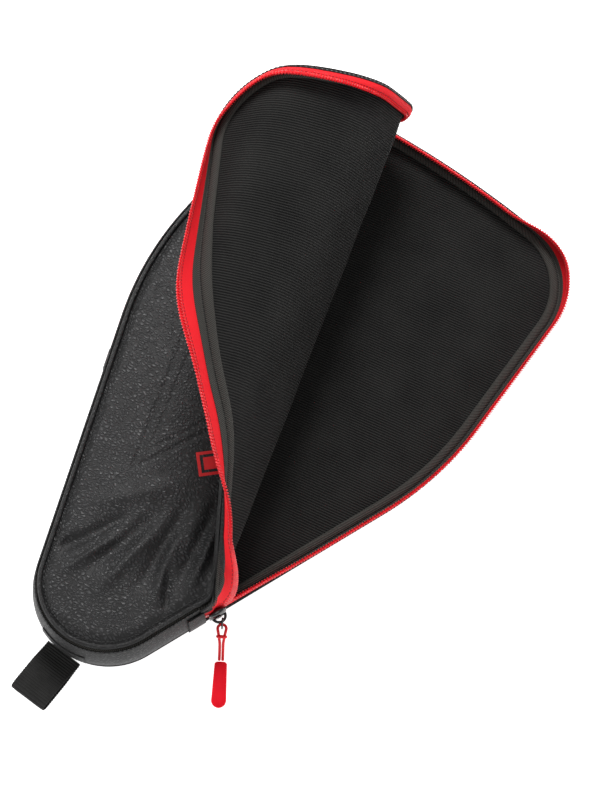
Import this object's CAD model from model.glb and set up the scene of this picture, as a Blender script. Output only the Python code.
"""The looks of the paddle case: leather, lining, binding, zip, slider, pull and webbing.

Lengths are in metres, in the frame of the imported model: the back face lies on z = 0 and the
long axis runs along Y, with the handle end at -Y.  Every sheet of the front is modelled
as it lies in the closed case, carried to rest by one smooth fold, and split into five
pieces, each of which bends across one of the five fold joints.
"""

from math import atan2, cos, pi, radians, sin, sqrt

import bmesh
import bpy
import numpy as np
from mathutils import Matrix, Vector, noise


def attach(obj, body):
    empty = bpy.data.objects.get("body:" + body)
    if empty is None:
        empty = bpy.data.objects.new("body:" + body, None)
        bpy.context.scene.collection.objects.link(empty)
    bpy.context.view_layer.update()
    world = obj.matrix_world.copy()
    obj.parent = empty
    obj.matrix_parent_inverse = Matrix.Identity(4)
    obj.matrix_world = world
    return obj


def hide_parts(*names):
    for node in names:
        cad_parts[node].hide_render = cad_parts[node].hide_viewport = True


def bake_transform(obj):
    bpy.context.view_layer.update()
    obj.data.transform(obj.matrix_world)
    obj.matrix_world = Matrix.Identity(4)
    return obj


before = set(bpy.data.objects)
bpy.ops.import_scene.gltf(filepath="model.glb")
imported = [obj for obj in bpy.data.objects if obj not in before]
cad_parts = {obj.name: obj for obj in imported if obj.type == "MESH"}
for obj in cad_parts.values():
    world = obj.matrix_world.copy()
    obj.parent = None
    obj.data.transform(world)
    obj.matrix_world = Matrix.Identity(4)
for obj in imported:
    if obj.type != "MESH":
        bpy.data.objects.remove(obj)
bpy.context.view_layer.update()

MM = 0.001

# Outline of the case, a teardrop that is the same on both sides
CASE_LENGTH = 428 * MM
HANDLE_RADIUS = 46 * MM
FLARE_ANGLE = radians(20.8)
HALF_WIDTH = 121 * MM
SHOULDER_RADIUS = 219 * MM
SIDE_ANGLE = radians(1.5)
CORNER_RADIUS = 56 * MM
WIDE_END_RADIUS = 700 * MM
OUTLINE_STEP = 0.5 * MM

# Heights of the closed case, and what lies along its edge
CASE_HEIGHT = 38 * MM
MID_HEIGHT = CASE_HEIGHT / 2
SEAM_DEPTH = 4.6 * MM            # from a face of the case to the seam of its side wall
LINING_DEPTH = 5.3 * MM          # from a face of the case to the surface of its lining
PAD_BACK_DEPTH = 4.1 * MM
LINING_BACK_DEPTH = 4.3 * MM
PANEL_INSET = 4.4 * MM
PIPING_RADIUS = 1.6 * MM
PIPING_INSET = 2.9 * MM
PIPING_HEIGHT = 1.9 * MM
WALL_THICKNESS = 1.0 * MM
WALL_BULGE = 3 * MM
CLOSED_LEAN = radians(9.5)       # lean of a half wall where the zip is closed
ZIP_NEAR_END = 96 * MM           # distance round the edge from the handle tip
SLIDER_PLACE = 106 * MM
ZIP_FAR_END_LEFT = 205 * MM
COIL_DEPTH = 13.3 * MM           # from the seam to the middle of the coil
COIL_PITCH = 2.0 * MM
COIL_HALF_WIDTH = 0.95 * MM
COIL_HALF_THICKNESS = 0.75 * MM
COIL_WIRE = 0.48 * MM
COIL_SIDES = 5
COIL_STEPS = 10                  # rings to each turn

# The fold of the front: distance of each crease's start round the edge, its heading from
# +Y towards -X, and its turn at rest.  The first three are one tight roll.
CREASE_HEIGHT = 38.3 * MM
CREASE_STARTS = np.array([94.5, 100.0, 105.5, 217.0, 292.0]) * MM
CREASE_HEADINGS = np.radians([18.7, 17.0, 14.3, 21.0, 18.0])
CREASE_TURNS = np.radians([37.0, 37.0, 37.0, 43.0, 48.0])
ROLL = (91.75 * MM, 108.25 * MM)
BEND_HALF = 50 * MM              # the fourth and fifth turns are spread this far each way
FOLD_END = 360 * MM
ROLL_STEPS = 60
BEND_STEPS = 80
STRIPS = ("strip_3", "strip_4")

# How far the front's half wall opens outwards, at distances round the edge
SPLAY = [(90, 9.5), (118, 50), (140, 30), (165, 38), (200, 78), (260, 59), (330, 22),
         (400, -10), (440, -38), (520, -45), (560, -68), (615, -76), (655, 9.5)]

# The back's half wall opens and then rolls in, over these stretches round the edge
BACK_OPENS = (110 * MM, 190 * MM)
BACK_TURNS = (450 * MM, 510 * MM)
BACK_STRAIGHTENS = (650 * MM, 720 * MM)
BACK_OPENING = radians(9)
BACK_ROLL = radians(32)
WALL_SWELL = 0.7 * MM
CURLING = (radians(20), radians(70))   # a wall that leans in this far begins to curl, and curls
SLIDER_GRIP = (106 * MM, 150 * MM)   # the slider holds the upper coil down over this stretch


# ---- Outline

def walked_lengths(line):
    """How far along a line each of its points lies."""
    return np.r_[0, np.cumsum(np.linalg.norm(np.diff(line, axis=0), axis=1))]


def right_half():
    """Points, outward normals and distances up the right side, from tip to wide end."""
    handle = np.array([0, HANDLE_RADIUS])
    flare_normal = np.array([cos(FLARE_ANGLE), -sin(FLARE_ANGLE)])
    flare_way = np.array([sin(FLARE_ANGLE), cos(FLARE_ANGLE)])
    flare_start = handle + HANDLE_RADIUS * flare_normal
    across = HALF_WIDTH - SHOULDER_RADIUS - flare_start[0] + SHOULDER_RADIUS * flare_normal[0]
    shoulder = flare_start + flare_way * (across / flare_way[0]) - SHOULDER_RADIUS * flare_normal
    side_normal = np.array([cos(SIDE_ANGLE), sin(SIDE_ANGLE)])
    side_way = np.array([-sin(SIDE_ANGLE), cos(SIDE_ANGLE)])
    end = np.array([0, CASE_LENGTH - WIDE_END_RADIUS])
    line = side_normal * (side_normal @ shoulder + SHOULDER_RADIUS - CORNER_RADIUS)
    to_end = line - end
    reach = WIDE_END_RADIUS - CORNER_RADIUS
    along = to_end @ side_way
    corner = line + side_way * (sqrt(along * along - to_end @ to_end + reach * reach) - along)
    end_angle = atan2(*(corner - end)[::-1])
    arcs = [
        (handle, HANDLE_RADIUS, -pi / 2, -FLARE_ANGLE),
        (shoulder, SHOULDER_RADIUS, -FLARE_ANGLE, SIDE_ANGLE),
        (corner, CORNER_RADIUS, SIDE_ANGLE, end_angle),
        (end, WIDE_END_RADIUS, end_angle, pi / 2),
    ]
    points = []
    normals = []
    for centre, radius, first, last in arcs:
        angle = np.linspace(first, last, max(3, int((last - first) * radius / OUTLINE_STEP)))
        normal = np.stack([np.cos(angle), np.sin(angle)], 1)
        points.append(centre + radius * normal)
        normals.append(normal)
    points = np.vstack(points) - [0, CASE_LENGTH / 2]
    normals = np.vstack(normals)
    reached = walked_lengths(points)
    keep = np.r_[True, np.diff(reached) > 1e-7]
    return points[keep], normals[keep], reached[keep]


HALF_POINTS, HALF_NORMALS, HALF_REACH = right_half()
ROUND = 2 * HALF_REACH[-1]
ZIP_FAR_END = ROUND - ZIP_FAR_END_LEFT


def joined(*values):
    """Coordinates side by side, as rows."""
    return np.stack(np.broadcast_arrays(*values), -1)


def round_angles(count):
    """Angles spread evenly round a circle."""
    return np.arange(count) / count * 2 * pi


def at(distance):
    """Point and outward normal at distances round the outline, up the right side first."""
    signed = (np.asarray(distance, float) + ROUND / 2) % ROUND - ROUND / 2
    side = np.where(signed < 0, -1.0, 1.0)
    reach = np.abs(signed)
    x, y = (np.interp(reach, HALF_REACH, HALF_POINTS[:, axis]) for axis in (0, 1))
    across, along = (np.interp(reach, HALF_REACH, HALF_NORMALS[:, axis]) for axis in (0, 1))
    size = np.hypot(across, along)
    return joined(x * side, y), joined(across * side / size, along / size)


def place(distance, offset, height):
    """Closed-case points at an outward offset from the outline and at a height."""
    point, normal = at(distance)
    x = point[..., 0] + offset * normal[..., 0]
    y = point[..., 1] + offset * normal[..., 1]
    return joined(x, y, height).astype(float)


def ease(value, first, last):
    """0 before first, 1 after last and smooth between."""
    share = np.clip((value - first) / (last - first), 0, 1)
    return share * share * (3 - 2 * share)


# ---- Fold

def rotation(axis, angle):
    return np.array(Matrix.Rotation(angle, 3, Vector(axis)))


def beyond_crease(turned, moved, point, way, turn):
    """Rotation and move of what lies beyond one more crease."""
    step = rotation(way, -turn)
    return turned @ step, turned @ (point - step @ point) + moved


class Fold:
    """The front's smooth fold: many small creases that together make the five big ones."""

    def __init__(self):
        roll = np.linspace(*ROLL, ROLL_STEPS + 1)
        rest = np.linspace(ROLL[1], FOLD_END, BEND_STEPS + 1)
        ends = np.r_[roll, rest[1:]]
        starts = (ends[1:] + ends[:-1]) / 2
        widths = np.diff(ends)
        in_roll = np.where(starts < ROLL[1], widths, 0)
        self.turns = in_roll / in_roll.sum() * CREASE_TURNS[:3].sum()
        for start, turn in zip(CREASE_STARTS[3:], CREASE_TURNS[3:]):
            reach = np.clip((starts - start) / BEND_HALF, -1, 1)
            bend = np.cos(reach * pi / 2) ** 2 * widths
            self.turns = self.turns + bend / bend.sum() * turn
        headings = np.interp(starts, CREASE_STARTS, CREASE_HEADINGS)
        self.points = place(starts, 0, CREASE_HEIGHT)
        self.ways = joined(-np.sin(headings), np.cos(headings), 0)
        self.rights = joined(self.ways[:, 1], -self.ways[:, 0], 0)
        self.matrices = [(np.eye(3), np.zeros(3))]
        for point, way, turn in zip(self.points, self.ways, self.turns):
            self.matrices.append(beyond_crease(*self.matrices[-1], point, way, turn))

    def __call__(self, points):
        """Carry closed-case points to rest."""
        shape = points.shape
        points = points.reshape(-1, 3)
        beyond = points @ self.rights.T - (self.points * self.rights).sum(1)
        passed = (beyond > 0).cumprod(1).sum(1)
        folded = np.empty_like(points)
        for index, (turned, moved) in enumerate(self.matrices):
            here = passed == index
            inside = points[here]
            if 0 < index < len(self.points) and len(inside):
                after = beyond[here, index - 1]
                share = after / (after - beyond[here, index] + 1e-12)
                angle = -share * self.turns[index]
                way = self.ways[index]
                arm = inside - self.points[index]
                along = np.outer(arm @ way, way)
                inside = (self.points[index] + along + (arm - along) * np.cos(angle)[:, None]
                          + np.cross(way, arm) * np.sin(angle)[:, None])
            folded[here] = inside @ turned.T + moved
        return folded.reshape(shape)


fold = Fold()


def splits():
    """Point and rightward normal of the lines midway between the five creases."""
    starts = (CREASE_STARTS[1:] + CREASE_STARTS[:-1]) / 2
    headings = (CREASE_HEADINGS[1:] + CREASE_HEADINGS[:-1]) / 2
    normals = joined(np.cos(headings), np.sin(headings), 0)
    return list(zip(place(starts, 0, 0.0), normals))


SPLITS = splits()


# ---- Half walls

def splay(distance):
    """Opening angle of the front's half wall."""
    places, angles = zip(*SPLAY)
    spaced = np.array(places) * MM
    soft = [np.interp(distance + slip * MM, spaced, angles) for slip in (-10, -5, 0, 5, 10)]
    return np.radians(np.mean(soft, 0))


def back_lean(distance):
    """Lean of the back's half wall: out along the open side, in round the wide end."""
    turning = ease(distance, *BACK_TURNS)
    opened = ease(distance, *BACK_OPENS) * (1 - turning)
    rolled = turning * (1 - ease(distance, *BACK_STRAIGHTENS))
    return CLOSED_LEAN + BACK_OPENING * opened - BACK_ROLL * rolled


def half_wall(angle, depth, lift):
    """Outward offset and depth below the seam, at a depth down the wall and a lift off it.

    Where the wall leans in far it curls: it leaves the seam upright and turns evenly."""
    lift = lift + WALL_SWELL * np.sin(np.clip(depth / COIL_DEPTH, 0, 1) * pi)
    curl = ease(-angle, *CURLING)
    first = angle * (1 - curl)
    bend = 2 * (angle - first) / COIL_DEPTH
    last = first + bend * depth
    middle = (first + last) / 2
    run = depth * np.sinc(bend * depth / 2 / pi)
    return np.sin(middle) * run + np.cos(last) * lift, np.cos(middle) * run - np.sin(last) * lift


def back_wall(distance, depth, lift):
    """Points of the back's half wall, and no shift."""
    offset, rise = half_wall(back_lean(distance), depth, lift)
    return place(distance, offset, SEAM_DEPTH + rise), 0


def front_wall(distance, depth, lift):
    """Points of the front's half wall, closed, and how the slider draws them at rest."""
    offset, drop = half_wall(splay(distance), depth, lift)
    seam = CASE_HEIGHT - SEAM_DEPTH
    free_offset, free_drop = half_wall(splay(distance), COIL_DEPTH, 0)
    held_offset, held_drop = half_wall(CLOSED_LEAN, COIL_DEPTH, 0)
    held = place(distance, held_offset, seam - held_drop)
    free = fold(place(distance, free_offset, seam - free_drop))
    hold = (1 - ease(distance, *SLIDER_GRIP)) * np.clip(depth / COIL_DEPTH, 0, 1.1)
    return place(distance, offset, seam - drop), hold[..., None] * (held - free)


# ---- Sheets

class Sheet:
    """A sheet as it is built: closed points, their shift at rest, flat places and faces."""

    def __init__(self):
        self.points = []
        self.shifts = []
        self.flats = []
        self.faces = []
        self.kinds = []
        self.count = 0

    def add(self, points, flats, faces, shift=0, kind=0):
        points = np.asarray(points, float)
        self.shifts.append(np.broadcast_to(shift, points.shape).reshape(-1, 3))
        self.points.append(points.reshape(-1, 3))
        self.flats.append(np.asarray(flats, float).reshape(-1, 2))
        self.faces += [[corner + self.count for corner in face] for face in faces]
        self.kinds += [kind] * len(faces)
        self.count += self.points[-1].shape[0]

    def add_rows(self, points, flats, shift=0, caps=False, round_rows=False):
        """Add rows of points, each row a ring, and the faces between them."""
        self.add(points, flats, grid_faces(*points.shape[:2], caps, round_rows), shift)


def grid_faces(rows, columns, caps=False, round_rows=False):
    """Quads over rows of points, each row a ring; caps close the first and last."""
    row = np.arange(rows if round_rows else rows - 1)[:, None]
    column = np.arange(columns)[None, :]
    following = (column + 1) % columns
    below = (row + 1) % rows * columns
    corners = [row * columns + column, row * columns + following,
               below + following, below + column]
    faces = np.stack(corners, -1).reshape(-1, 4).tolist()
    if caps:
        last = (rows - 1) * columns
        faces.append(list(range(columns)))
        faces.append(list(range(last + columns - 1, last - 1, -1)))
    return faces


def add_band(sheet, distances, section, surface, whole=False):
    """Carry a closed section of (depth or offset, lift or height) points along the edge."""
    section = np.asarray(section, float)
    along = distances[:, None]
    points, shift = surface(along, section[None, :, 0], section[None, :, 1])
    flats = joined(along, walked_lengths(section))
    sheet.add_rows(points, flats, shift, not whole, whole)


# Length, width and rise of the stitches of each seam, in mm
STITCHES = {
    "panel": (2.2, 0.6, 0.35),
    "binding": (1.8, 0.7, 0.35),
    "wall": (1.9, 0.55, 0.3),
    "handle end": (2.0, 0.5, 0.3),
    "tape": (1.6, 0.55, 0.22),
    "coil": (1.0, 0.45, 0.2),
}


def add_stitches(sheet, distances, across, surface, seam, base=0.0, facing=1):
    """A row of stitches in the second material: small pillows lying along the edge."""
    length, width, rise = np.array(STITCHES[seam]) * MM
    run = np.array([-0.5, -0.36, 0.36, 0.5])
    swell = np.array([0.35, 1, 1, 0.35])
    around = np.array([(-0.5, 0), (-0.28, 1), (0.28, 1), (0.5, 0), (0, -1)])
    along = distances[:, None, None] + run[None, :, None] * length
    side = across + around[None, None, :, 0] * width * swell[None, :, None]
    lift = base + around[None, None, :, 1] * rise * facing * swell[None, :, None]
    points, shift = surface(along, side, lift)
    rows, columns = points.shape[1:3]
    one = grid_faces(rows, columns, caps=True)
    faces = [[corner + rows * columns * index for corner in face]
             for index in range(len(distances)) for face in one]
    sheet.add(points, joined(along, side), faces, shift, 1)


def add_coil(sheet, first, last, surface, carry):
    """A zip coil: wire wound at an even pitch along the edge of the tape."""
    fine = np.arange(first, last, 0.5 * MM)
    middle, shift = surface(fine, np.full_like(fine, COIL_DEPTH), -WALL_THICKNESS)
    line = carry(middle) + shift
    reached = walked_lengths(line)
    walked = np.arange(0, reached[-1], COIL_PITCH / COIL_STEPS)
    distance = np.interp(walked, reached, fine)[:, None]
    phase = (walked / COIL_PITCH * 2 * pi)[:, None]
    angle = round_angles(COIL_SIDES)[None, :]
    out = COIL_WIRE * np.cos(angle)
    depth = COIL_DEPTH + (COIL_HALF_WIDTH + out) * np.cos(phase)
    lift = -WALL_THICKNESS + (COIL_HALF_THICKNESS + out) * np.sin(phase)
    along = distance + COIL_WIRE * np.sin(angle)
    points, shift = surface(along, depth, lift)
    sheet.add_rows(points, joined(along, angle * MM), shift, True)


def mesh_of(sheet, cuts=()):
    """Mesh of a sheet in closed places, welded and cut, with its layers as attributes."""
    mesh = bpy.data.meshes.new("sheet")
    mesh.from_pydata(np.vstack(sheet.points).tolist(), [], sheet.faces)
    flats = np.vstack(sheet.flats)
    layers = {"shift": np.vstack(sheet.shifts), "flat": np.c_[flats, np.zeros(len(flats))]}
    for name, values in layers.items():
        layer = mesh.attributes.new(name, "FLOAT_VECTOR", "POINT")
        layer.data.foreach_set("vector", values.astype(np.float32).ravel())
    mesh.polygons.foreach_set("material_index", sheet.kinds)
    bm = bmesh.new()
    bm.from_mesh(mesh)
    bmesh.ops.remove_doubles(bm, verts=bm.verts, dist=1e-6)
    bmesh.ops.recalc_face_normals(bm, faces=bm.faces)
    for point, normal in cuts:
        everything = bm.verts[:] + bm.edges[:] + bm.faces[:]
        bmesh.ops.bisect_plane(bm, geom=everything, dist=1e-6, plane_co=point, plane_no=normal)
    bm.to_mesh(mesh)
    bm.free()
    return mesh


def read(collection, name, width):
    """A property of every item of a mesh's collection, as rows of numbers."""
    values = np.zeros(len(collection) * width, np.float32)
    collection.foreach_get(name, values)
    return values.reshape(-1, width) if width > 1 else values


def link(name, data, materials=()):
    """A new object in the scene."""
    thing = bpy.data.objects.new(name, data)
    bpy.context.scene.collection.objects.link(thing)
    for material in materials:
        data.materials.append(material)
    return thing


CRISP = radians(50)


def make_pieces(name, sheet, materials, carry=None, crisp=CRISP):
    """Objects of a sheet: one as it lies, or five of the front carried to rest."""
    mesh = mesh_of(sheet, SPLITS if carry else ())
    closed = read(mesh.vertices, "co", 3).astype(float)
    shift = read(mesh.attributes["shift"].data, "vector", 3)
    flat = read(mesh.attributes["flat"].data, "vector", 3)
    rest = (carry(closed) if carry else closed) + shift
    mesh.vertices.foreach_set("co", rest.astype(np.float32).ravel())
    mesh.shade_smooth()
    mesh.set_sharp_from_angle(angle=crisp)
    mesh.update()
    normals = read(mesh.corner_normals, "vector", 3)
    corners = [tuple(face.vertices) for face in mesh.polygons]
    firsts = read(mesh.polygons, "loop_start", 1).astype(int)
    kinds = read(mesh.polygons, "material_index", 1).astype(int)
    middles = np.array([closed[list(face)].mean(0) for face in corners])
    group = np.zeros(len(corners), int)
    if carry:
        for point, normal in SPLITS:
            group += (middles - point) @ normal > 0
    bpy.data.meshes.remove(mesh)
    pieces = []
    for index in range(group.max() + 1):
        chosen = np.flatnonzero(group == index)
        used = sorted({corner for face in chosen for corner in corners[face]})
        fresh = {old: new for new, old in enumerate(used)}
        faces = [[fresh[corner] for corner in corners[face]] for face in chosen]
        piece = bpy.data.meshes.new(name)
        piece.from_pydata(rest[used].tolist(), [], faces)
        piece.polygons.foreach_set("material_index", kinds[chosen])
        uv = piece.uv_layers.new(name="flat")
        order = [corner for face in chosen for corner in corners[face]]
        uv.data.foreach_set("uv", flat[order, :2].ravel())
        loops = [normals[firsts[face] + turn] for face in chosen
                 for turn in range(len(corners[face]))]
        piece.shade_smooth()
        piece.normals_split_custom_set(loops)
        title = f"{name}_{index + 1}" if carry else name
        pieces.append(link(title, piece, materials))
    return pieces


def front(name, sheet, materials, nodes):
    """Make a sheet of the front: each of its pieces bends across one fold joint."""
    pieces = make_pieces(name, sheet, materials, fold)
    for index, piece in enumerate(pieces):
        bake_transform(piece)
        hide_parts(*nodes[index])
    return pieces


def fixed(piece, nodes, body="case"):
    """Let a piece ride on one body in place of some nodes."""
    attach(piece, body)
    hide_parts(*nodes)
    return piece


def whole(name, sheet, materials, slot, nodes, body="case", crisp=CRISP):
    """Make a sheet that stays in one piece."""
    return fixed(make_pieces(name, sheet, materials, None, crisp)[0], nodes, body)


def front_nodes(first, second="", strips="", last=""):
    """The nodes that the five pieces of a front sheet stand for."""
    ends = [[node for node in names.split() if node] for names in (first, second, last)]
    middle = [[f"{strip}_{kind}" for kind in strips.split()] for strip in STRIPS]
    return [ends[0], ends[1], *middle, ends[2]]


# ---- Materials

class Shading:
    """A Principled material and the few kinds of node that the finishes here share."""

    def __init__(self, name, colour, roughness, **sockets):
        self.material = bpy.data.materials.new(name)
        self.material.use_nodes = True
        self.tree = self.material.node_tree
        self.shader = self.tree.nodes["Principled BSDF"]
        self.set("Base Color", (*colour, 1))
        self.set("Roughness", roughness)
        for socket, value in sockets.items():
            self.set(socket.replace("_", " "), value)
        self.material.diffuse_color = (*colour, 1)

    def set(self, socket, value):
        self.shader.inputs[socket].default_value = value

    def node(self, kind, links=None, values=None, **settings):
        made = self.tree.nodes.new("ShaderNode" + kind)
        for name, value in settings.items():
            setattr(made, name, value)
        for socket, value in (values or {}).items():
            made.inputs[socket].default_value = value
        for socket, source in (links or {}).items():
            self.tree.links.new(source, made.inputs[socket])
        return made

    def flat(self, turn=0.0):
        """Place on the flat sheet, in metres, turned about its normal."""
        source = self.node("UVMap", uv_map="flat").outputs["UV"]
        return self.node("Mapping", {"Vector": source}, {"Rotation": (0, 0, turn)}).outputs[0]

    def solid(self):
        return self.node("TexCoord").outputs["Object"]

    def bands(self, vector, period, along="Y", wobble=0.0):
        """Even bands of this period across X or Y."""
        return self.node("TexWave", {"Vector": vector},
                         {"Scale": 2 * pi / (20 * period), "Distortion": wobble,
                          "Detail": 1.0, "Detail Scale": 2.0},
                         wave_type="BANDS", bands_direction=along).outputs["Fac"]

    def speckle(self, vector, size, detail=2.0):
        return self.node("TexNoise", {"Vector": vector},
                         {"Scale": 1 / size, "Detail": detail}).outputs["Fac"]

    def pebbles(self, vector, size):
        """Rounded cells of this size with narrow valleys between them."""
        edge = self.node("TexVoronoi", {"Vector": vector}, {"Scale": 1 / size},
                         feature="DISTANCE_TO_EDGE").outputs["Distance"]
        return self.span(edge, 0.0, 0.42, 0.0, 1.0)

    def span(self, value, low, high, to_low, to_high):
        return self.node("MapRange", {"Value": value},
                         {"From Min": low, "From Max": high, "To Min": to_low,
                          "To Max": to_high}, interpolation_type="SMOOTHSTEP").outputs[0]

    def paint(self, shade, low, high, dark, light):
        """Colour from dark to light as the shade goes from low to high."""
        made = self.node("Mix", {"Factor": self.span(shade, low, high, 0, 1)}, data_type="RGBA")
        made.inputs[6].default_value = (*dark, 1)
        made.inputs[7].default_value = (*light, 1)
        self.connect("Base Color", made.outputs[2])

    def sum(self, first, second, weight):
        return self.node("Math", {0: second, 2: first}, {1: weight},
                         operation="MULTIPLY_ADD").outputs[0]

    def connect(self, socket, source):
        self.tree.links.new(source, self.shader.inputs[socket])

    def bump(self, height, distance, strength=1.0):
        made = self.node("Bump", {"Height": height}, {"Distance": distance,
                                                      "Strength": strength})
        self.connect("Normal", made.outputs["Normal"])


def leather(name, grain=2.1 * MM, depth=0.32 * MM, bright=0.029):
    """Pebbled polyurethane leather: wide low pebbles, glossier on their tops."""
    skin = Shading(name, (0.010, 0.010, 0.011), 0.45, Specular_IOR_Level=0.5)
    place_on = skin.flat()
    wander = skin.node("TexNoise", {"Vector": place_on}, {"Scale": 150.0, "Detail": 1.0})
    bent = skin.node("VectorMath", {0: wander.outputs["Color"], 2: place_on},
                     {1: (0.003, 0.003, 0.0)}, operation="MULTIPLY_ADD").outputs[0]
    longer = skin.node("VectorMath", {0: bent}, {1: (0.7, 1.15, 1.0)},
                       operation="MULTIPLY").outputs[0]
    pebble = skin.pebbles(longer, grain)
    fine = skin.speckle(place_on, 0.5 * MM)
    broad = skin.speckle(place_on, 14 * MM)
    skin.bump(skin.sum(pebble, fine, 0.08), depth)
    shade = skin.sum(pebble, broad, 0.7)
    skin.paint(shade, 0.25, 1.45, (0.0015, 0.0015, 0.0017),
                                          (bright, bright, 1.06 * bright))
    skin.connect("Roughness", skin.span(shade, 0.3, 1.5, 0.6, 0.4))
    return skin.material


def lining_cloth(name, turn):
    """Finely ribbed dark lining."""
    cloth = Shading(name, (0.016, 0.016, 0.017), 0.95, Specular_IOR_Level=0.12)
    place_on = cloth.flat(turn)
    ribs = cloth.bands(place_on, 1.75 * MM, "Y", 0.5)
    threads = cloth.bands(place_on, 0.62 * MM, "X", 1.0)
    fuzz = cloth.speckle(place_on, 0.4 * MM, 3.0)
    height = cloth.sum(cloth.sum(ribs, threads, 0.25), fuzz, 0.3)
    cloth.bump(height, 0.5 * MM)
    patches = cloth.speckle(place_on, 30 * MM)
    shade = cloth.sum(height, patches, 0.7)
    cloth.paint(shade, 0.3, 1.8, (0.004, 0.004, 0.0045), (0.036, 0.0355, 0.034))
    return cloth.material


def twill(name, dark, light):
    """Twill tape with its diagonal."""
    cloth = Shading(name, light, 0.85, Specular_IOR_Level=0.2)
    place_on = cloth.flat(radians(55))
    diagonal = cloth.bands(place_on, 1.1 * MM, "Y", 0.4)
    fuzz = cloth.speckle(place_on, 0.3 * MM, 3.0)
    height = cloth.sum(diagonal, fuzz, 0.6)
    cloth.bump(height, 0.3 * MM)
    cloth.paint(height, 0.2, 1.3, dark, light)
    return cloth.material


def tape_cloth():
    """Bright red woven zip tape, with a herringbone along it."""
    cloth = Shading("zip_tape_weave", (0.93, 0.010, 0.022), 0.7, Specular_IOR_Level=0.2)
    place_on = cloth.flat()
    rows = cloth.bands(place_on, 0.55 * MM, "Y", 0.3)
    picks = cloth.bands(cloth.flat(radians(38)), 0.5 * MM, "X", 0.3)
    height = cloth.sum(cloth.sum(rows, picks, 0.8), cloth.speckle(place_on, 0.3 * MM), 0.5)
    cloth.bump(height, 0.09 * MM)
    cloth.paint(height, 0.1, 1.9, (0.80, 0.005, 0.014), (1.0, 0.018, 0.028))
    return cloth.material


def plain(name, colour, roughness, grain=0.4 * MM, depth=0.03 * MM, darker=0.7, **sockets):
    """A moulded or enamelled surface with a faint grain and slight unevenness of colour."""
    finish = Shading(name, colour, roughness, **sockets)
    place_on = finish.solid()
    fine = finish.speckle(place_on, grain, 3.0)
    broad = finish.speckle(place_on, 6 * MM)
    finish.bump(fine, depth, 0.6)
    low = tuple(channel * darker for channel in colour)
    finish.paint(broad, 0.3, 0.7, low, colour)
    finish.connect("Roughness", finish.span(fine, 0.3, 0.7, roughness * 0.9, roughness * 1.15))
    return finish.material


LEATHER = leather("leather_pebbled")
SMOOTH_LEATHER = leather("leather_smooth", 1.6 * MM, 0.22 * MM, 0.015)
FRONT_LINING = lining_cloth("lining_front", radians(-2))
BACK_LINING = lining_cloth("lining_back", radians(-12))
BINDING = twill("binding_twill", (0.018, 0.017, 0.016), (0.092, 0.088, 0.080))
TAPE = tape_cloth()
COIL = plain("coil_nylon", (0.95, 0.012, 0.024), 0.32, darker=0.8)
RED_THREAD = plain("thread_red", (0.42, 0.004, 0.012), 0.8)
PINK_THREAD = plain("thread_pink", (0.95, 0.09, 0.09), 0.7)
DARK_THREAD = plain("thread_dark", (0.012, 0.012, 0.012), 0.8)
GREY_THREAD = plain("thread_grey", (0.055, 0.055, 0.055), 0.6)
ENAMEL = plain("slider_gloss", (0.008, 0.008, 0.009), 0.12, depth=0.004 * MM, Coat_Weight=0.6,
               Coat_Roughness=0.05)
RUBBER = plain("pull_rubber_red", (0.86, 0.005, 0.018), 0.55, depth=0.02 * MM, darker=0.92,
               Specular_IOR_Level=0.12)
WEBBING = plain("webbing_black", (0.014, 0.0135, 0.013), 0.72, grain=0.25 * MM,
                depth=0.08 * MM, Specular_IOR_Level=0.3)
PRINT = plain("emblem_red", (0.80, 0.010, 0.014), 0.45, depth=0.03 * MM, darker=0.85)


def cord_cloth():
    """Braided red cord."""
    cloth = Shading("cord_braid", (0.70, 0.008, 0.018), 0.5, Specular_IOR_Level=0.4)
    place_on = cloth.solid()
    braid = cloth.node("TexVoronoi", {"Vector": place_on}, {"Scale": 1900.0}).outputs["Distance"]
    cloth.bump(braid, 0.04 * MM)
    cloth.paint(braid, 0.1, 0.7, (0.95, 0.014, 0.026), (0.70, 0.005, 0.012))
    return cloth.material


CORD = cord_cloth()


# ---- Panels

COLUMNS = 744
RINGS = 60
BACK_RINGS = 15
SPINE_START = -CASE_LENGTH / 2 + HANDLE_RADIUS
SPINE_END = 115 * MM


def ring_points(share):
    """Points of one ring from the spine, at share 0, to the panel's edge, at share 1."""
    distance = np.arange(COLUMNS) * ROUND / COLUMNS
    edge = place(distance, -PANEL_INSET, 0.0)[:, :2]
    low, high = edge[:, 1].min(), edge[:, 1].max()
    spine_y = SPINE_START + (edge[:, 1] - low) / (high - low) * (SPINE_END - SPINE_START)
    spine = joined(0.0, spine_y)
    arm = edge - spine
    return spine + share * arm, (1 - share) * np.linalg.norm(arm, axis=1)


def pad_sheet(face, back):
    """A closed pad: a fine face at height face(x, y, edge) and a coarse back."""
    even = np.linspace(0, 1, RINGS + 1)
    shares = 0.6 * even + 0.4 * np.sin(even * pi / 2)
    rows = []
    for share in shares:
        flat, edge = ring_points(share)
        rows.append(np.c_[flat, face(flat[:, 0], flat[:, 1], edge)])
    for share in np.linspace(1, 0, BACK_RINGS + 1):
        flat, _ = ring_points(share)
        rows.append(np.c_[flat, np.full(COLUMNS, back)])
    points = np.array(rows)
    sheet = Sheet()
    sheet.add_rows(points, points[..., :2])
    return sheet


def ripple(x, y, size, seed):
    """Smooth noise of about this size across a panel, from -1 to 1."""
    return np.array([noise.noise((a / size, b / size, seed)) for a, b in zip(x, y)])


def dent(x, y, middle, heading, length, width):
    """1 along a line, falling off smoothly to its sides and ends."""
    way = (sin(radians(heading)), cos(radians(heading)))
    x = x - middle[0] * MM
    y = y - middle[1] * MM
    along = x * way[0] + y * way[1]
    across = x * way[1] - y * way[0]
    return np.exp(-(across / (width * MM)) ** 2 - (along / (length * MM)) ** 4)


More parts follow.
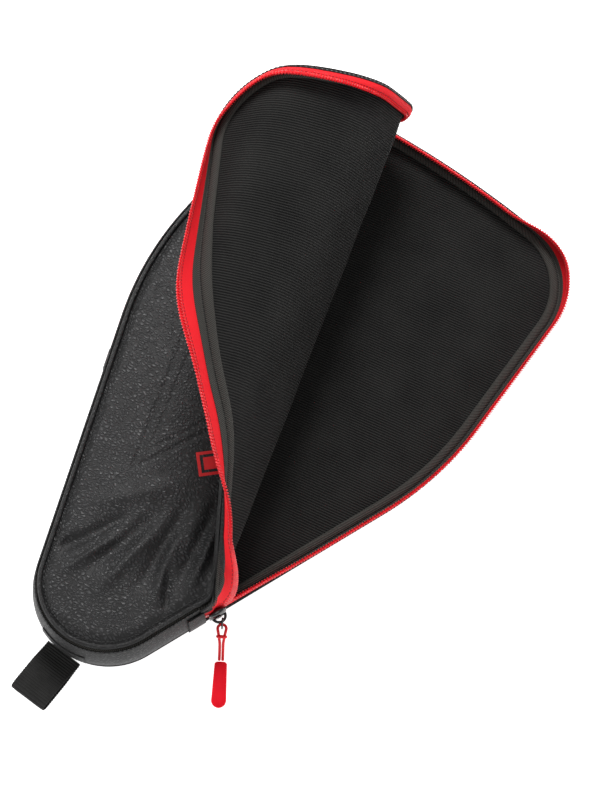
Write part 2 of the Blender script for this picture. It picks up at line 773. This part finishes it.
# Wrinkles of the front at the handle end: middle, heading from +Y towards +X, half length,
# half width and height, in mm and degrees
WRINKLES = [
    ((-28, -150), 24, 26, 4.0, -1.3),
    ((-19, -158), 20, 20, 3.0, 1.0),
    ((-42, -170), 32, 14, 2.6, -0.9),
    ((-8, -140), 12, 30, 5.0, -1.2),
    ((2, -150), 5, 22, 4.0, 1.1),
    ((14, -128), -8, 30, 5.0, -1.4),
    ((25, -140), -20, 22, 4.0, 1.2),
    ((34, -150), -34, 18, 3.0, -1.1),
    ((-22, -112), 40, 26, 6.0, 0.8),
    ((30, -112), -12, 26, 4.0, -1.2),
    ((40, -120), -14, 20, 3.0, 1.3),
]


def groove(x, y, corners, width):
    """1 within a polyline of (x, y) in mm, mirrored about the long axis, else 0."""
    nearest = np.full(x.shape, 1.0)
    for start, end in zip(corners, corners[1:]):
        way = np.subtract(end, start) * MM
        right = np.abs(x) - start[0] * MM
        up = y - start[1] * MM
        share = np.clip((right * way[0] + up * way[1]) / (way @ way), 0, 1)
        gap = np.hypot(right - share * way[0], up - share * way[1])
        nearest = np.minimum(nearest, gap)
    return 1 - ease(nearest, width * 0.35, width)


SEAM_SINK = 2.6 * MM
CROWN = 1.6 * MM
WRINKLE_GAIN = 2.3

# Embossed lines of the front: corners in mm, half width and depth
EMBOSSED = [
    ([(66, 0), (34, -99), (11, -50), (0, -28)], 1.9 * MM, 0.7 * MM),
    ([(56, -4), (33, -82), (15, -44)], 1.5 * MM, 0.5 * MM),
]


def front_rim(edge):
    """Height of the front leather near its seam, where it is drawn down."""
    return CASE_HEIGHT - SEAM_SINK + SEAM_SINK * ease(edge, -1 * MM, 7 * MM)


def front_face(x, y, edge):
    """Height of the front leather: crowned, sunk at the seam, wrinkled and embossed."""
    height = front_rim(edge) + CROWN * ease(edge, 0, 60 * MM)
    height += 0.35 * MM * ripple(x, y, 22 * MM, 1.5) * ease(edge, 0, 10 * MM)
    inside = ease(edge, 1 * MM, 9 * MM)
    for middle, heading, length, width, rise in WRINKLES:
        height += WRINKLE_GAIN * rise * MM * inside * dent(x, y, middle, heading, length, width)
    crumple = ease(x, 20 * MM, 60 * MM) * (1 - ease(y, -115 * MM, -70 * MM)) * ease(y, -180 * MM,
                                                                               -150 * MM)
    height += 0.9 * MM * crumple * inside * ripple(x, y, 8 * MM, 4.5)
    for corners, width, depth in EMBOSSED:
        height -= depth * groove(x, y, corners, width)
    return height


def back_face(x, y, edge):
    """Height of the back leather, flat where the case lies on it."""
    return 1.4 * MM * (1 - ease(edge, 0, 6 * MM)) + 0 * x


def lining_rise(x, y, edge, seed):
    """How far a lining stands off its foam."""
    return 0.8 * MM * ease(edge, 0, 30 * MM) + 0.35 * MM * ripple(x, y, 30 * MM, seed) - 0.5 * MM


def front_lining_face(x, y, edge):
    return CASE_HEIGHT - LINING_DEPTH - lining_rise(x, y, edge, 7.5)


def back_lining_face(x, y, edge):
    return LINING_DEPTH + lining_rise(x, y, edge, 9.5)


def every(step, first=0.0, last=ROUND):
    return np.arange(first, last, step)


def panels():
    cover = pad_sheet(front_face, CASE_HEIGHT - PAD_BACK_DEPTH)

    def seam(distance, across, lift):
        flat = place(distance, -across, 0.0)
        flat[..., 2] = front_rim(across - PANEL_INSET + 0 * distance) + lift + 0.15 * MM
        return flat, 0

    add_stitches(cover, every(3.1 * MM), 6.2 * MM, seam, "panel")
    nodes = front_nodes("front_leather front_foam strip_1_panel", "strip_2_panel",
                        "leather foam", "flap_leather flap_foam")
    for piece in front("front_cover", cover, [LEATHER, GREY_THREAD], nodes):
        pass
    inside = pad_sheet(front_lining_face, CASE_HEIGHT - LINING_BACK_DEPTH)
    nodes = front_nodes("front_lining", "", "lining", "flap_lining")
    for piece in front("front_lining", inside, [FRONT_LINING], nodes):
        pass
    back = pad_sheet(back_face, PAD_BACK_DEPTH)
    whole("back_cover", back, [LEATHER], "leather", ["back_leather", "back_foam"])
    floor = pad_sheet(back_lining_face, LINING_BACK_DEPTH)
    whole("back_lining_sheet", floor, [BACK_LINING], "lining", ["back_lining"])


# ---- Trim

def oval(offset, height, half_width, half_height, sides=12):
    angle = round_angles(sides)
    return joined(offset + half_width * np.cos(angle), height + half_height * np.sin(angle))


def level(distance, offset, height):
    """Surface for sections that are given as offset and height."""
    return place(distance, offset, height), 0


def turned_level(distance, offset, height):
    """The same for the front: heights are measured down from the front face."""
    return place(distance, offset, CASE_HEIGHT - height), 0


def strip_section(first, last, outer, inner, steps=4):
    """Section of a flat strip on a wall, between two depths and two lifts."""
    depths = np.linspace(first, last, steps + 1)
    return np.vstack([joined(depths, outer), joined(depths, inner)[::-1]])


def bulging_section(low, high, lift, steps):
    """Section of full-height wall between two heights, bulging between its seams."""
    heights = np.linspace(low, high, steps)
    across = (heights - MID_HEIGHT) / (MID_HEIGHT - SEAM_DEPTH)
    face = WALL_BULGE * (1 - across ** 2) + lift
    return np.vstack([joined(face, heights), joined(face - WALL_THICKNESS, heights)[::-1]])


def trim(names, parts, materials, slot, front_replaced, back_replaced, steps=(1.5, 2.5)):
    """Make the same trim on the front, where it folds, and on the back.

    parts fills a sheet, given the surfaces at the panel's edge and on the half wall, how
    points are carried to rest, and the step along the edge."""
    upper = Sheet()
    parts(upper, turned_level, front_wall, fold, steps[0] * MM)
    front(names[0], upper, materials, front_replaced)
    lower = Sheet()
    parts(lower, level, back_wall, np.asarray, steps[1] * MM)
    whole(names[1], lower, materials, slot, back_replaced)


def piping_parts(sheet, edge, wall, carry, step):
    """Round piping between a panel and the side wall."""
    section = oval(-PIPING_INSET, PIPING_HEIGHT, PIPING_RADIUS, PIPING_RADIUS)
    add_band(sheet, every(step), section, edge, whole=True)


FLAT_BINDING_END = 3.9 * MM
BINDING_OFFSET = -5.4 * MM
BINDING_HALF = 3.0 * MM


def binding_parts(sheet, edge, wall, carry, step):
    """Rounded binding by the lining, its seam, and flat binding up the wall."""
    section = oval(BINDING_OFFSET, LINING_DEPTH + 0.1 * MM, BINDING_HALF, 1.7 * MM, 14)
    add_band(sheet, every(step), section, edge, whole=True)
    ridge = oval(-1.2 * MM, LINING_DEPTH - 0.1 * MM, 1.4 * MM, 0.9 * MM, 8)
    add_band(sheet, every(step), ridge, edge, whole=True)
    open_part = every(step, ZIP_NEAR_END - 2 * MM, ZIP_FAR_END)
    flat = strip_section(-0.4 * MM, FLAT_BINDING_END, -WALL_THICKNESS, -WALL_THICKNESS - 0.9 * MM)
    add_band(sheet, open_part, flat, wall)
    add_stitches(sheet, every(2.4 * MM), -2.35 * MM, edge, "binding", LINING_DEPTH + 0.45 * MM)


WALL_END = 5.9 * MM
TAPE_START = 3.2 * MM
TAPE_END = 14.1 * MM
TAPE_HALF = 0.3 * MM


def wall_parts(sheet, edge, wall, carry, step):
    """Half wall of leather beside the zip, with a rolled edge at its seam."""
    start = ZIP_NEAR_END - 1 * MM
    distances = every(step, start, ZIP_FAR_END)
    add_band(sheet, distances, strip_section(0, WALL_END, 0, -WALL_THICKNESS), wall)
    add_band(sheet, distances, oval(-0.1 * MM, 0.5 * MM, 0.9 * MM, 0.8 * MM, 8), wall)
    rows = every(3 * MM, start if carry is fold else ZIP_NEAR_END, ZIP_FAR_END)
    add_stitches(sheet, rows, WALL_END - 1.2 * MM, wall, "wall", 0.1 * MM)


def closed_wall():
    """The wall round the handle end, in one piece, bulging between its seams."""
    sheet = Sheet()
    distances = every(1.5 * MM, -ZIP_FAR_END_LEFT, ZIP_NEAR_END)
    top = CASE_HEIGHT - SEAM_DEPTH
    add_band(sheet, distances, bulging_section(SEAM_DEPTH, top, 0, 13), level)
    for height in (top + 0.2 * MM, SEAM_DEPTH - 0.2 * MM):
        add_band(sheet, distances, oval(0.3 * MM, height, 0.8 * MM, 0.9 * MM, 8), level)
    add_stitches(sheet, every(2.8 * MM, -ZIP_FAR_END_LEFT, ZIP_NEAR_END), 0.45 * MM, level,
                 "handle end", top + 1.0 * MM)
    whole("handle_end_wall", sheet, [SMOOTH_LEATHER, GREY_THREAD], "leather",
          ["gusset_closed"])


def tape_parts(sheet, edge, wall, carry, step):
    """Tape with a stitch line on each face, beside the coil."""
    distances = every(step, ZIP_NEAR_END, ZIP_FAR_END)
    outer = -WALL_THICKNESS + TAPE_HALF
    inner = -WALL_THICKNESS - TAPE_HALF
    add_band(sheet, distances, strip_section(TAPE_START, TAPE_END, outer, inner, 6), wall)
    rows = every(2.2 * MM, ZIP_NEAR_END + 1 * MM, ZIP_FAR_END)
    for base, facing in ((inner, -1), (outer, 1)):
        add_stitches(sheet, rows, COIL_DEPTH - 2.1 * MM, wall, "tape", base, facing)


def coil_parts(sheet, edge, wall, carry, step):
    """Coil with a stitch over each of its turns, on both faces."""
    add_coil(sheet, ZIP_NEAR_END, ZIP_FAR_END, wall, carry)
    rows = every(COIL_PITCH, ZIP_NEAR_END + 12 * MM, ZIP_FAR_END)
    reach = COIL_HALF_THICKNESS + COIL_WIRE - 0.1 * MM
    for facing in (-1, 1):
        add_stitches(sheet, rows, COIL_DEPTH - 0.1 * MM, wall, "coil",
                     facing * reach - WALL_THICKNESS, facing)


def trims():
    """Everything that runs along both edges of the zip."""
    trim(("front_piping_cord", "back_piping_cord"), piping_parts, [SMOOTH_LEATHER], "leather",
         front_nodes("front_piping", last="flap_piping"), ["back_piping"], (1.5, 3))
    trim(("front_seam_binding", "back_seam_binding"), binding_parts, [BINDING, DARK_THREAD],
         "binding", front_nodes("front_binding", last="flap_binding"), ["back_binding"])
    trim(("front_wall", "lower_wall"), wall_parts, [SMOOTH_LEATHER, DARK_THREAD], "leather",
         front_nodes("front_gusset strip_1_end_edge", "strip_2_end_edge", "end_edge side_edge",
                     "flap_gusset"), ["gusset_lower"])
    closed_wall()
    trim(("front_tape", "lower_tape"), tape_parts, [TAPE, RED_THREAD], "zip_tape",
         front_nodes("front_zip_tape strip_1_end_zip", "strip_2_end_zip", "end_zip side_zip",
                     "flap_zip_tape"), ["zip_tape_lower"])
    trim(("front_coil", "lower_coil"), coil_parts, [COIL, PINK_THREAD], "zip_coil",
         front_nodes("front_zip_coil", last="flap_zip_coil"), ["zip_coil_lower"])


TAB_HALF = 6 * MM
TAB_HEIGHTS = (8 * MM, 30 * MM)
PATCH_HALF = 16 * MM
PATCH_HEIGHTS = (10.5 * MM, 24 * MM)


def tab(name, node, middle, half, heights, lift):
    """A leather tab sewn over the side wall."""
    sheet = Sheet()
    section = bulging_section(*heights, lift, 9)
    add_band(sheet, np.linspace(middle - half, middle + half, 12), section, level)
    whole(name, sheet, [SMOOTH_LEATHER], "leather", [node])


def tabs():
    """Leather tabs over the ends of the zip, and the patch above the webbing's root."""
    near = ZIP_NEAR_END - TAB_HALF + 1.5 * MM
    tab("near_tab", "zip_end_tab_near", near, TAB_HALF, TAB_HEIGHTS, 1.7 * MM)
    tab("far_tab", "zip_end_tab_far", -ZIP_FAR_END_LEFT, TAB_HALF, TAB_HEIGHTS, 0.8 * MM)
    tab("webbing_patch", "loop_patch", 0, PATCH_HALF, PATCH_HEIGHTS, 0.8 * MM)


# ---- Hardware

def edge_frame(distance, height):
    """Matrix with X out of the wall, Y along the zip and Z up, at the outline."""
    point, normal = at(distance)
    turn = Matrix.Rotation(atan2(normal[1], normal[0]), 4, "Z")
    return Matrix.Translation((*point, height)) @ turn


SLIDER = edge_frame(SLIDER_PLACE, MID_HEIGHT)
BRIDGE_CROWN = 10.65 * MM
BRIDGE_RISE = 4.8 * MM
BRIDGE_HALF_LENGTH = 4.4 * MM
BRIDGE_WIRE = 1.0 * MM
RING_RADIUS = 3.4 * MM
RING_WIRE = 0.6 * MM
RING_CENTRE = RING_RADIUS - 2.0 * MM
PULL_TURN = Matrix.Rotation(radians(-35), 4, "Z")
PULL = SLIDER @ Matrix.Translation((BRIDGE_CROWN, 0, 0)) @ PULL_TURN
CORD_START = PULL @ Matrix.Translation((RING_CENTRE + RING_RADIUS, 0, 0))
CORD_RADIUS = 1.0 * MM
CORD_REACH = 17 * MM
CORD_DROP = 15.6 * MM
KNOT_REACH = 4.6 * MM
KNOT_HALF_WIDTH = 2.75 * MM
KNOT_DROP = 2.6 * MM
GRIP_DROP = 16.5 * MM
GRIP_LENGTH = 30 * MM
GRIP_ROUND = 5 * MM
GRIP_ROWS = 26
GRIP_SIDES = 24
GRIP_HALF_WIDTH = 4.0 * MM       # at the cord
GRIP_WIDENING = 1.0 * MM         # at the far end
GRIP_HALF_THICKNESS = 2.0 * MM
TUBE_SIDES = 10


def finished(bm, name, material, body, nodes, rounding=0):
    """Object of a bmesh, with a subdivision applied, riding on a body."""
    bmesh.ops.recalc_face_normals(bm, faces=bm.faces)
    mesh = bpy.data.meshes.new(name)
    bm.to_mesh(mesh)
    bm.free()
    mesh.shade_smooth()
    piece = link(name, mesh, [material])
    if rounding:
        smooth = piece.modifiers.new("round", "SUBSURF")
        smooth.levels = rounding
        smooth.render_levels = rounding
        graph = bpy.context.evaluated_depsgraph_get()
        applied = bpy.data.meshes.new_from_object(piece.evaluated_get(graph))
        piece.modifiers.clear()
        piece.data = applied
    return fixed(piece, nodes, body)


def add_block(bm, out, along, size, edge, taper=0.0):
    """A bevelled block on the slider, narrower by taper at its +Y end."""
    made = bmesh.ops.create_cube(bm, size=1.0)
    for vert in made["verts"]:
        vert.co.x *= size[0]
        vert.co.y *= size[1]
        vert.co.z *= size[2] * (1 - taper * (vert.co.y > 0))
    edges = dict.fromkeys(line for vert in made["verts"] for line in vert.link_edges)
    bevelled = bmesh.ops.bevel(bm, geom=list(edges), offset=min(size) * edge, segments=2,
                               affect="EDGES", profile=0.5)
    points = {vert for face in bevelled["faces"] for vert in face.verts} | {
        vert for vert in made["verts"] if vert.is_valid}
    matrix = SLIDER @ Matrix.Translation((out, along, 0))
    bmesh.ops.transform(bm, matrix=matrix, verts=list(points))


def ordered(bm):
    """The same faces in a fixed order, which a bevel changes from run to run."""
    verts = sorted(bm.verts, key=lambda vert: tuple(vert.co))
    places = {vert: place for place, vert in enumerate(verts)}
    faces = []
    for face in bm.faces:
        corners = [places[vert] for vert in face.verts]
        first = corners.index(min(corners))
        faces.append(corners[first:] + corners[:first])
    fresh = bmesh.new()
    made = [fresh.verts.new(vert.co) for vert in verts]
    for corners in sorted(faces):
        fresh.faces.new([made[corner] for corner in corners])
    bm.free()
    return fresh


def bridge(bm, rings, closed=False):
    """Faces between rings of vertices, joined up if closed and capped if not."""
    sides = len(rings[0])
    for first, second in zip(rings, rings[1:] + rings[:1] * closed):
        for corner in range(sides):
            following = (corner + 1) % sides
            bm.faces.new([first[corner], first[following], second[following], second[corner]])
    if not closed:
        bm.faces.new(rings[0][::-1])
        bm.faces.new(rings[-1])


def wire_tube(bm, points, radius, closed=False):
    """A round tube along points, joined up if closed."""
    points = [Vector(point) for point in points]
    count = len(points)
    rings = []
    side = None
    for index, point in enumerate(points):
        before = points[(index - 1) % count] if closed or index else point
        after = points[(index + 1) % count] if closed or index < count - 1 else point
        way = (after - before).normalized()
        if side is None:
            side = way.orthogonal().normalized()
        side = (side - way * side.dot(way)).normalized()
        other = way.cross(side)
        rings.append([bm.verts.new(point + radius * (cos(a) * side + sin(a) * other))
                      for a in round_angles(TUBE_SIDES)])
    bridge(bm, rings, closed)


def slider():
    """Slider body: a domed outer plate, an inner plate and the neck between the coils."""
    bm = bmesh.new()
    add_block(bm, 4.6 * MM, 0, (2.2 * MM, 12.5 * MM, 10.4 * MM), 0.42, 0.18)
    dome = bmesh.ops.create_uvsphere(bm, u_segments=24, v_segments=14, radius=1.0)
    shape = SLIDER @ Matrix.Translation((4.7 * MM, 0, 0.3 * MM)) @ Matrix.Diagonal(
        (3.2 * MM, 6.6 * MM, 6.3 * MM, 1))
    bmesh.ops.transform(bm, matrix=shape, verts=dome["verts"])
    add_block(bm, -0.4 * MM, 0, (1.5 * MM, 12 * MM, 8 * MM), 0.35, 0.2)
    add_block(bm, 2.2 * MM, 3.6 * MM, (4.6 * MM, 3.2 * MM, 1.7 * MM), 0.3)
    finished(ordered(bm), "slider_body", ENAMEL, "slider", ["zip_slider"], 2)
    bm = bmesh.new()
    arch = [SLIDER @ Vector((BRIDGE_CROWN - BRIDGE_RISE * (1 - sin(angle)),
                             -BRIDGE_HALF_LENGTH * cos(angle), 0))
            for angle in np.linspace(0, pi, 21)]
    wire_tube(bm, arch, BRIDGE_WIRE)
    finished(bm, "slider_arch", ENAMEL, "slider", ["slider_bridge"], 1)


def puller():
    bm = bmesh.new()
    centre = PULL @ Matrix.Translation((RING_CENTRE, 0, 0))
    ring = [centre @ Vector((RING_RADIUS * cos(a), 0, RING_RADIUS * sin(a)))
            for a in round_angles(32)]
    wire_tube(bm, ring, RING_WIRE, closed=True)
    finished(bm, "pull_ring", ENAMEL, "puller", ["puller_ring"], 1)


def cord():
    """Red cord, doubled from the grip round the ring, with the bight that locks it."""
    loop = RING_WIRE + CORD_RADIUS + 1.2 * MM
    strand = []
    for share in np.linspace(1, 0.06, 16):
        side = loop + (CORD_RADIUS + 0.1 * MM - loop) * min(1, 2.2 * share)
        drop = CORD_DROP * share * share * (3 - 2 * share)
        strand.append((CORD_REACH * share, side, -drop))
    turn = [(loop * cos(a), loop * sin(a), 0) for a in np.linspace(pi / 2, 3 * pi / 2, 13)]
    back = [(reach, -side, drop) for reach, side, drop in reversed(strand)]
    bm = bmesh.new()
    wire_tube(bm, [CORD_START @ Vector(point) for point in strand + turn + back], CORD_RADIUS)
    knot = [CORD_START @ Vector((KNOT_REACH + 0.7 * MM * sin(a), KNOT_HALF_WIDTH * cos(a),
                                 -KNOT_DROP + 1.7 * MM * sin(a)))
            for a in round_angles(24)]
    wire_tube(bm, knot, CORD_RADIUS, closed=True)
    finished(bm, "pull_cord_doubled", CORD, "pull", ["pull_cord"], 1)


def grip():
    """Moulded grip: squared by the cord, wider and round at its end, softly crowned."""
    bm = bmesh.new()
    rings = []
    place_at = CORD_START @ Matrix.Translation((CORD_REACH + 0.6 * MM, 0, -GRIP_DROP))
    body = GRIP_LENGTH - GRIP_ROUND
    turn = GRIP_ROUND * np.sin(np.linspace(0, pi / 2, GRIP_ROWS // 2)[1:])
    for reach in np.r_[np.linspace(0, body, GRIP_ROWS), body + turn]:
        half = GRIP_HALF_WIDTH + GRIP_WIDENING * reach / GRIP_LENGTH
        into = max(0.0, reach - body) / GRIP_ROUND
        half *= sqrt(max(0.0004, 1 - into * into))
        start = 1 - 0.22 * (1 - min(1, reach / (1.2 * MM))) ** 2
        thick = GRIP_HALF_THICKNESS * start * (1 - 0.55 * into ** 3)
        ring = []
        for a in round_angles(GRIP_SIDES):
            wide = abs(cos(a)) ** 0.55 * (1 if cos(a) > 0 else -1)
            high = abs(sin(a)) ** 0.75 * (1 if sin(a) > 0 else -1)
            ring.append(bm.verts.new(place_at @ Vector((reach, half * start * wide,
                                                        thick * high))))
        rings.append(ring)
    bridge(bm, rings)
    finished(bm, "pull_grip_moulded", RUBBER, "pull", ["pull_grip"], 0)


# ---- Webbing and emblem

LOOP_LENGTH = 38 * MM
LOOP_HALF_HEIGHT = 3.5 * MM
WEBBING_WIDTH = 26 * MM
RIB_PITCH = 1.8 * MM
ROOT_HALF_HEIGHT = 0.85 * MM
ROOT_Y = -CASE_LENGTH / 2 - 1.6 * MM
ROOT_HEIGHT = 4.6 * MM
LOOP_RISE = 0.024                # per length, towards the loop's tip


def webbing_loop():
    """Grosgrain webbing, doubled into a loop, with ribs across it."""
    tip = LOOP_LENGTH - LOOP_HALF_HEIGHT - 0.7 * MM
    reach = np.linspace(0, tip, 60)
    rise = ROOT_HALF_HEIGHT + (LOOP_HALF_HEIGHT - ROOT_HALF_HEIGHT) * ease(reach, 2 * MM, 17 * MM)
    bend = np.linspace(pi / 2, -pi / 2, 16)[1:-1]
    line = np.vstack([
        joined(reach, rise),
        joined(tip + LOOP_HALF_HEIGHT * np.cos(bend), LOOP_HALF_HEIGHT * np.sin(bend)),
        joined(reach, -rise)[::-1],
    ])
    walked = walked_lengths(line)
    along = np.arange(0, walked[-1], RIB_PITCH / 6)
    centre = joined(*(np.interp(along, walked, values) for values in line.T))
    way = np.gradient(centre, axis=0)
    way /= np.linalg.norm(way, axis=1)[:, None]
    normal = joined(-way[:, 1], way[:, 0])
    rib = 0.55 * MM + 0.24 * MM * np.cos(along / RIB_PITCH * 2 * pi)
    across = np.linspace(-1, 1, 15)
    edge = 1 - 0.35 * np.abs(across) ** 12
    outside = joined(across, edge)
    section = np.vstack([outside, outside[::-1] * [1, -1]])
    fray = 1 + 0.006 * np.cos(along / RIB_PITCH * 2 * pi)
    wide = WEBBING_WIDTH / 2 * section[None, :, 0] * fray[:, None]
    thick = rib[:, None] * section[None, :, 1]
    y = ROOT_Y - (centre[:, None, 0] + normal[:, None, 0] * thick)
    z = (ROOT_HEIGHT + centre[:, None, 1] + normal[:, None, 1] * thick
         + LOOP_RISE * (ROOT_Y - y))
    points = joined(wide, y, z)
    sheet = Sheet()
    sheet.add_rows(points, joined(wide, along[:, None]), caps=True)
    whole("webbing_loop_ribbed", sheet, [WEBBING], "webbing", ["webbing_loop"], "loop",
          radians(70))


EMBLEM_HALF = 12 * MM
EMBLEM_MIDDLE = np.array([4, -66]) * MM


def emblem():
    """A plain diamond with a plain diamond inside it, printed on the front leather."""
    sheet = Sheet()
    for outer, inner in ((1.0, 0.72), (0.52, 0.0)):
        turns = round_angles(4)
        corner = joined(np.cos(turns), np.sin(turns))
        sides = [corner[index] + (corner[(index + 1) % 4] - corner[index]) * share
                 for index in range(4) for share in np.linspace(0, 1, 9)[:-1]]
        ring = np.array(sides) * EMBLEM_HALF
        rows = []
        for size, lift in ((inner, 0.0), (inner + 0.02, 0.4), (outer - 0.02, 0.4), (outer, 0.0)):
            flat = EMBLEM_MIDDLE + ring * size
            edge = np.full(len(flat), 40 * MM)
            height = front_face(flat[:, 0], flat[:, 1], edge) + (0.1 + lift) * MM
            rows.append(np.c_[flat, height])
        points = np.array(rows)
        sheet.add_rows(points, points[..., :2])
    whole("front_diamond", sheet, [PRINT], "emblem_print", ["front_emblem"])


# ---- Studio

AIM = Vector((0, MM, 0))
CAMERA_DISTANCE = 1.75
CAMERA_LEAN = radians(21.2)       # from straight above, towards the handle end
CAMERA_RIGHT = Vector((0.7976, 0.6032, 0))
LENS = 118.1
SHIFT = (0.04, 0.0055)
LIT_POINT = Vector((0, 0, 0.03))


def camera():
    """A view from above the handle end, turned so that the case lies askew."""
    forward = Vector((-CAMERA_RIGHT.y, CAMERA_RIGHT.x, 0))
    towards = cos(CAMERA_LEAN) * Vector((0, 0, 1)) - sin(CAMERA_LEAN) * forward
    up = towards.cross(CAMERA_RIGHT)
    data = bpy.data.cameras.new("camera")
    data.lens = LENS
    data.shift_x, data.shift_y = SHIFT
    seen = link("camera", data)
    turn = Matrix((CAMERA_RIGHT, up, towards)).transposed().to_4x4()
    seen.matrix_world = Matrix.Translation(AIM + CAMERA_DISTANCE * towards) @ turn
    bpy.context.scene.camera = seen


def light(name, place_at, size, power):
    data = bpy.data.lights.new(name, "AREA")
    data.shape = "DISK"
    data.size = size
    data.energy = power
    lamp = link(name, data)
    lamp.location = place_at
    way = LIT_POINT - Vector(place_at)
    lamp.rotation_euler = way.to_track_quat("-Z", "Y").to_euler()


def studio():
    """A pale floor under soft light."""
    bm = bmesh.new()
    bmesh.ops.create_grid(bm, x_segments=8, y_segments=8, size=4.0)
    bm.transform(Matrix.Translation((0, 0, -0.3 * MM)))
    mesh = bpy.data.meshes.new("studio_floor")
    bm.to_mesh(mesh)
    bm.free()
    paper = Shading("paper", (0.92, 0.92, 0.92), 0.9, Specular_IOR_Level=0.1)
    paper.set("Emission Color", (1, 1, 1, 1))
    paper.set("Emission Strength", 0.9)
    floor = link("studio_floor", mesh, [paper.material])
    world = bpy.data.worlds.new("world")
    world.use_nodes = True
    background = world.node_tree.nodes["Background"].inputs
    background["Color"].default_value = (1, 1, 1, 1)
    background["Strength"].default_value = 0.33
    bpy.context.scene.world = world
    light("key", (-0.7, 0.9, 1.3), 0.7, 24)
    light("rim", (-0.9, -0.9, 0.5), 0.6, 6)
    light("fill", (0.9, -0.5, 1.1), 1.2, 4)
    bpy.context.scene.view_settings.view_transform = "Standard"


camera()
studio()
panels()
trims()
tabs()
slider()
puller()
cord()
grip()
webbing_loop()
emblem()
